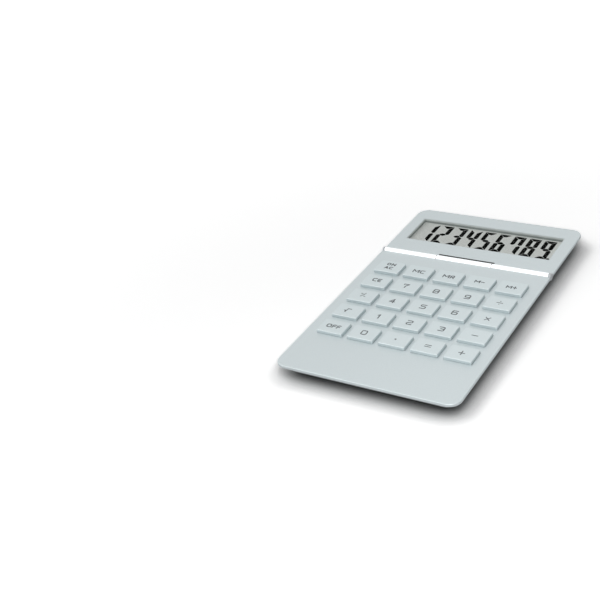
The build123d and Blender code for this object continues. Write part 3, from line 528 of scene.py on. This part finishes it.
def legend_shells(lines, size, centre, low, high):
    """The strokes of a key's text, its lines centred about a point."""
    shells = []
    height = size[1]
    lift = LINE_LIFT if len(lines) > 1 else 0
    for row, text in enumerate(lines):
        base_y = centre[1] + lift + ((len(lines) - 1) / 2 - row) * LINE_PITCH - height / 2
        widths = [size[0] * (WIDTHS.get(glyph, 1.0) if len(text) > 1 else 1.0) for glyph in text]
        base_x = centre[0] - (sum(widths) + (len(text) - 1) * LETTER_GAP) / 2
        for glyph, width in zip(text, widths):
            stroke_width = SIGN_STROKE if len(text) == 1 and glyph in SIGNS else LEGEND_STROKE
            strokes = GLYPHS[glyph]
            if glyph in SHARP:
                strokes = [run for stroke in strokes for run in zip(stroke[:-1], stroke[1:])]
            for turn, stroke in enumerate(strokes):
                closed = stroke[0] == stroke[-1]
                corners = np.array(stroke[:-1] if closed else stroke, float) * (width, height) + (base_x, base_y)
                line = corners if len(stroke) == 2 else rounded_line(corners, LEGEND_CORNER, closed)
                shells.append(ink_stroke(line, closed, stroke_width, low, high + 2 * turn * STROKE_STEP))
            base_x += width + LETTER_GAP
    return shells


def add_legends(ink):
    """Prints every key's legend on its top face, riding on that key."""
    for key, (lines, size) in LEGENDS.items():
        low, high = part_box("key_" + key)
        aside, up = NUDGES.get(key, (0, 0))
        centre = ((low.x + high.x) / 2 + aside, (low.y + high.y) / 2 + up)
        shells = legend_shells(lines, size, centre, high.z - LEGEND_SINK, high.z + LEGEND_RISE)
        legend = make_piece("legend_" + key, *join_shells(shells), ink)
        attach(legend, "key_" + key)


# ---------------------------------------------------------------- display figures
def segment_outlines():
    """The seven segments of a figure about its own middle, anticlockwise, with mitred ends.

    With half sizes w and h, thickness t and gap g, an upright runs from the middle bar to the figure's end
    and loses a 45-degree corner on its inner side, and a bar loses one at both ends.
    """
    w, h, t, g = FIGURE_WIDTH / 2, FIGURE_HEIGHT / 2, SEGMENT_WIDTH, SEGMENT_GAP
    nose = t / 2
    top = [(-w + g, h), (-w + t + g, h - t), (w - t - g, h - t), (w - g, h)]
    middle = [(-w + nose + g, 0), (-w + t + g, -nose), (w - t - g, -nose), (w - nose - g, 0),
              (w - t - g, nose), (-w + t + g, nose)]
    upright = [(w, h - g), (w - t, h - t - g), (w - t, nose + g), (w - nose, g), (w, g + nose * 0.6)]

    def mirrored(outline, across_x, across_y):
        flipped = [(x * across_x, y * across_y) for x, y in outline]
        return flipped if across_x * across_y > 0 else flipped[::-1]

    return {
        "top": top, "middle": middle, "bottom": mirrored(top, 1, -1),
        "top_right": upright, "top_left": mirrored(upright, -1, 1),
        "low_right": mirrored(upright, 1, -1), "low_left": mirrored(upright, -1, -1),
    }


LIT = {
    "1": "top_right low_right",
    "2": "top top_right middle low_left bottom",
    "3": "top top_right middle low_right bottom",
    "4": "top_left top_right middle low_right",
    "5": "top top_left middle low_right bottom",
    "6": "top top_left middle low_left low_right bottom",
    "7": "top top_left top_right low_right",
    "8": "top top_left top_right middle low_left low_right bottom",
    "9": "top top_left top_right middle low_right bottom",
}


def add_figures(material):
    """The lit segments on the display glass, one row of figures and a point, riding with the display."""
    low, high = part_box("window_bezel")
    middle_x = (low.x + high.x) / 2 + FIGURE_SHIFT[0]
    middle_y = (low.y + high.y) / 2 + FIGURE_SHIFT[1]
    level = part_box("lcd_panel")[1].z
    outlines = segment_outlines()
    shells = []
    for place, figure in enumerate(FIGURES):
        centre = np.array([middle_x + (place - (len(FIGURES) - 1) / 2) * FIGURE_PITCH, middle_y])
        for segment in LIT[figure].split():
            shells.append(prism(np.array(outlines[segment]) + centre, level, level + SEGMENT_RISE))
    point_x = centre[0] + FIGURE_PITCH / 2
    point_y = middle_y - FIGURE_HEIGHT / 2
    half = POINT_SIZE / 2
    corners = [(-half, 0), (half, 0), (half, 2 * half), (-half, 2 * half)]
    shells.append(prism(np.array(corners) + (point_x, point_y), level, level + SEGMENT_RISE))
    figures = make_piece("display_figures", *join_shells(shells), material)
    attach(figures, "display_unit")


# ---------------------------------------------------------------- ribbon cable
def add_ribbon(material):
    """The flat cable in one strip across the hinge.

    Along its route the strip's middle goes from board to hinge and to board on a smooth step; across its
    width the faces rise as |sin| ridges, one for each wire.
    """
    low_a, high_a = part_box("ribbon_cable_lower")
    low_b, high_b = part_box("ribbon_cable_upper")
    half = RIBBON_HALF
    hinge_y = frame["joints"][0]["pos_m"][1]
    level_a, level_b, level_hinge = low_a.z + half, low_b.z + half, high_a.z - half
    y = np.linspace(low_a.y, high_b.y, 121)
    front_start, front_end = low_a.y + RIBBON_FRONT_LEVEL, hinge_y - RIBBON_HINGE_FRONT
    back_start, back_end = hinge_y + RIBBON_HINGE_BACK, high_b.y - RIBBON_BACK_LEVEL
    front = np.clip((y - front_start) / (front_end - front_start), 0, 1)
    back = np.clip((y - back_start) / (back_end - back_start), 0, 1)
    ease_front, ease_back = front ** 2 * (3 - 2 * front), back ** 2 * (3 - 2 * back)
    z = level_a + (level_hinge - level_a) * ease_front + (level_b - level_hinge) * ease_back
    x = np.linspace(low_a.x, high_a.x, RIBBON_WIRES * 8 + 1)
    across = (x - low_a.x) / (high_a.x - low_a.x)
    ridge = half * (0.55 + 0.45 * np.abs(np.sin(pi * RIBBON_WIRES * across)))
    grid_x, grid_y = np.meshgrid(x, y, indexing="ij")
    upper = np.stack([grid_x, grid_y, z[None, :] + ridge[:, None]], axis=-1)
    lower = np.stack([grid_x, grid_y, z[None, :] - ridge[:, None]], axis=-1)
    rings = np.concatenate([upper, lower[::-1]], axis=0)
    count, steps = rings.shape[:2]
    index = np.arange(count * steps).reshape(count, steps)
    turned = np.roll(index, -1, 0)
    quads = np.stack([index[:, :-1], turned[:, :-1], turned[:, 1:], index[:, 1:]], axis=-1).reshape(-1, 4)
    faces = quads.tolist() + [index[::-1, 0].tolist(), index[:, -1].tolist()]
    ribbon = make_piece("ribbon_cable", rings.reshape(-1, 3), faces, material)
    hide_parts("ribbon_cable_lower", "ribbon_cable_upper")
    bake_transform(ribbon)


# ---------------------------------------------------------------- floor, light and camera
FLOOR_REACH = 6.0               # from the middle to each side of the floor
FLOOR_BOUNCE = 0.8              # its tone for rays that light the object
GAIN_NEAR = 1.3
GAIN_FAR = 2.5
GAIN_REACH = (0.05, 0.7)        # distances at which the gain starts and ends to rise
BRIGHT_SPOT = (0.06, -0.12, 0)
# painted contact shadow: the floor's seen colour darkens with the occlusion within this reach, to this power
CONTACT_SHADE_REACH = 12 * MM
CONTACT_SHADE_POWER = 1.15

WORLD_STRENGTH = 0.2
SUN_SPREAD = 50                 # degrees
SUNS = {  # strength and the direction in which it shines
    "lamp_left": (0.71, (0.7, 0, -0.7)),
    "lamp_back": (0.16, (0, -0.75, -0.66)),
    "lamp_front": (0.26, (0.5, 0.6, -0.62)),
}
PANEL_SIZE = 0.2
PANEL_AIM = (0.02, -0.02, 0)
PANELS = {"panel_front": (0.48, (0.2, -0.4, 0.35)), "panel_top": (0.46, (0.12, -0.22, 0.32))}   # power and place

CAMERA_LENS = 65.82             # for a sensor 36 wide
CAMERA_PLACE = (0.2347, -0.4357, 0.3161)
CAMERA_TURN = (58.387, 8.425, 31.492)       # degrees


def shown_ray(tree):
    """1 for rays that see the background straight, in a reflection or through glass, 0 for the rest."""
    path = add(tree, "ShaderNodeLightPath")
    first = add(tree, "ShaderNodeMath", {0: path.outputs["Is Camera Ray"], 1: path.outputs["Is Glossy Ray"]},
                operation="MAXIMUM")
    both = add(tree, "ShaderNodeMath", {0: first.outputs[0], 1: path.outputs["Is Transmission Ray"]},
               operation="MAXIMUM")
    return both.outputs[0]


def add_world(strength):
    """Even pale light from all round, which shows as white."""
    world = bpy.data.worlds.new("studio")
    bpy.context.scene.world = world
    world.use_nodes = True
    tree = world.node_tree
    tree.nodes.clear()
    light = add(tree, "ShaderNodeBackground", {"Color": (1.0, 1.0, 1.0, 1.0), "Strength": strength})
    white = add(tree, "ShaderNodeBackground", {"Color": (1.0, 1.0, 1.0, 1.0), "Strength": 1.0})
    mixed = add(tree, "ShaderNodeMixShader", {0: shown_ray(tree), 1: light.outputs[0], 2: white.outputs[0]})
    output = add(tree, "ShaderNodeOutputWorld")
    tree.links.new(mixed.outputs[0], output.inputs[0])


def add_floor():
    """A wide white floor that keeps the calculator's shadow.

    What the camera sees of it is its own shade times a gain, so that it reads white outside the shadow. The
    gain rises on a smooth step from GAIN_NEAR to GAIN_FAR with the distance from BRIGHT_SPOT, because the
    panels light the far floor less, and close under the edges it is multiplied by the open share of the sky, a
    painted contact shadow on top of the lamps' own.
    """
    corners = np.array([(-1, -1, 0), (1, -1, 0), (1, 1, 0), (-1, 1, 0)], float) * FLOOR_REACH
    material = bpy.data.materials.new("floor")
    material.use_nodes = True
    tree = material.node_tree
    tree.nodes.clear()
    place = add(tree, "ShaderNodeTexCoord").outputs["Object"]
    distance = add(tree, "ShaderNodeVectorMath", {0: place, 1: BRIGHT_SPOT}, operation="DISTANCE").outputs["Value"]
    gain = add(tree, "ShaderNodeMapRange", {"Value": distance, "From Min": GAIN_REACH[0], "From Max": GAIN_REACH[1],
                                            "To Min": GAIN_NEAR, "To Max": GAIN_FAR},
               interpolation_type="SMOOTHSTEP").outputs["Result"]
    open_sky = add(tree, "ShaderNodeAmbientOcclusion", {"Distance": CONTACT_SHADE_REACH}, samples=8).outputs["AO"]
    # painted contact shadow close under the calculator's edges
    contact_shade = add(tree, "ShaderNodeMath", {0: open_sky, 1: CONTACT_SHADE_POWER}, operation="POWER").outputs[0]
    seen = add(tree, "ShaderNodeMath", {0: gain, 1: contact_shade}, operation="MULTIPLY").outputs[0]
    path = add(tree, "ShaderNodeLightPath")
    other = add(tree, "ShaderNodeMapRange", {"Value": shown_ray(tree), "To Min": FLOOR_BOUNCE,
                                             "To Max": 1.0}).outputs["Result"]
    tone = add(tree, "ShaderNodeMix", {"Factor": path.outputs["Is Camera Ray"], "A": other, "B": seen})
    matt = add(tree, "ShaderNodeBsdfDiffuse", {"Color": tone.outputs["Result"]})
    output = add(tree, "ShaderNodeOutputMaterial")
    tree.links.new(matt.outputs[0], output.inputs[0])
    floor = make_piece("floor", corners, [(0, 1, 2, 3)], material)


def add_sun(name, strength, direction):
    """A wide soft lamp that shines along a direction."""
    lamp = bpy.data.lights.new(name, "SUN")
    lamp.energy = strength
    lamp.angle = radians(SUN_SPREAD)
    sun = bpy.data.objects.new(name, lamp)
    sun.rotation_mode = "QUATERNION"
    sun.rotation_quaternion = Vector(direction).to_track_quat("-Z", "Y")
    bpy.context.scene.collection.objects.link(sun)


def add_panel(name, power, place):
    """A square soft lamp at a place, turned to shine at PANEL_AIM."""
    lamp = bpy.data.lights.new(name, "AREA")
    lamp.energy = power
    lamp.size = PANEL_SIZE
    panel = bpy.data.objects.new(name, lamp)
    panel.location = place
    panel.rotation_mode = "QUATERNION"
    panel.rotation_quaternion = (Vector(PANEL_AIM) - Vector(place)).to_track_quat("-Z", "Y")
    bpy.context.scene.collection.objects.link(panel)


def add_camera():
    """A camera over the front right-hand corner, turned a little about its own line of sight."""
    lens = bpy.data.cameras.new("camera")
    lens.lens = CAMERA_LENS
    lens.sensor_width = 36.0
    lens.clip_start = 0.01
    camera = bpy.data.objects.new("camera", lens)
    camera.location = CAMERA_PLACE
    camera.rotation_euler = [radians(turn) for turn in CAMERA_TURN]
    bpy.context.scene.collection.objects.link(camera)
    bpy.context.scene.camera = camera


add_camera()
add_world(WORLD_STRENGTH)
add_floor()
for name, (strength, direction) in SUNS.items():
    add_sun(name, strength, direction)
for name, (power, place) in PANELS.items():
    add_panel(name, power, place)
bpy.context.scene.view_settings.view_transform = "Standard"

finishes = make_finishes()
dress_cad_nodes(finishes)
add_legends(grained_plastic("legend_ink", srgb(72, 77, 80), 0.6, depth=0.000003))
add_figures(grained_plastic("lit_segment", srgb(6, 7, 5), 0.6, depth=0.000001, Specular_IOR_Level=0.0))
add_ribbon(finishes["ribbon_film"])
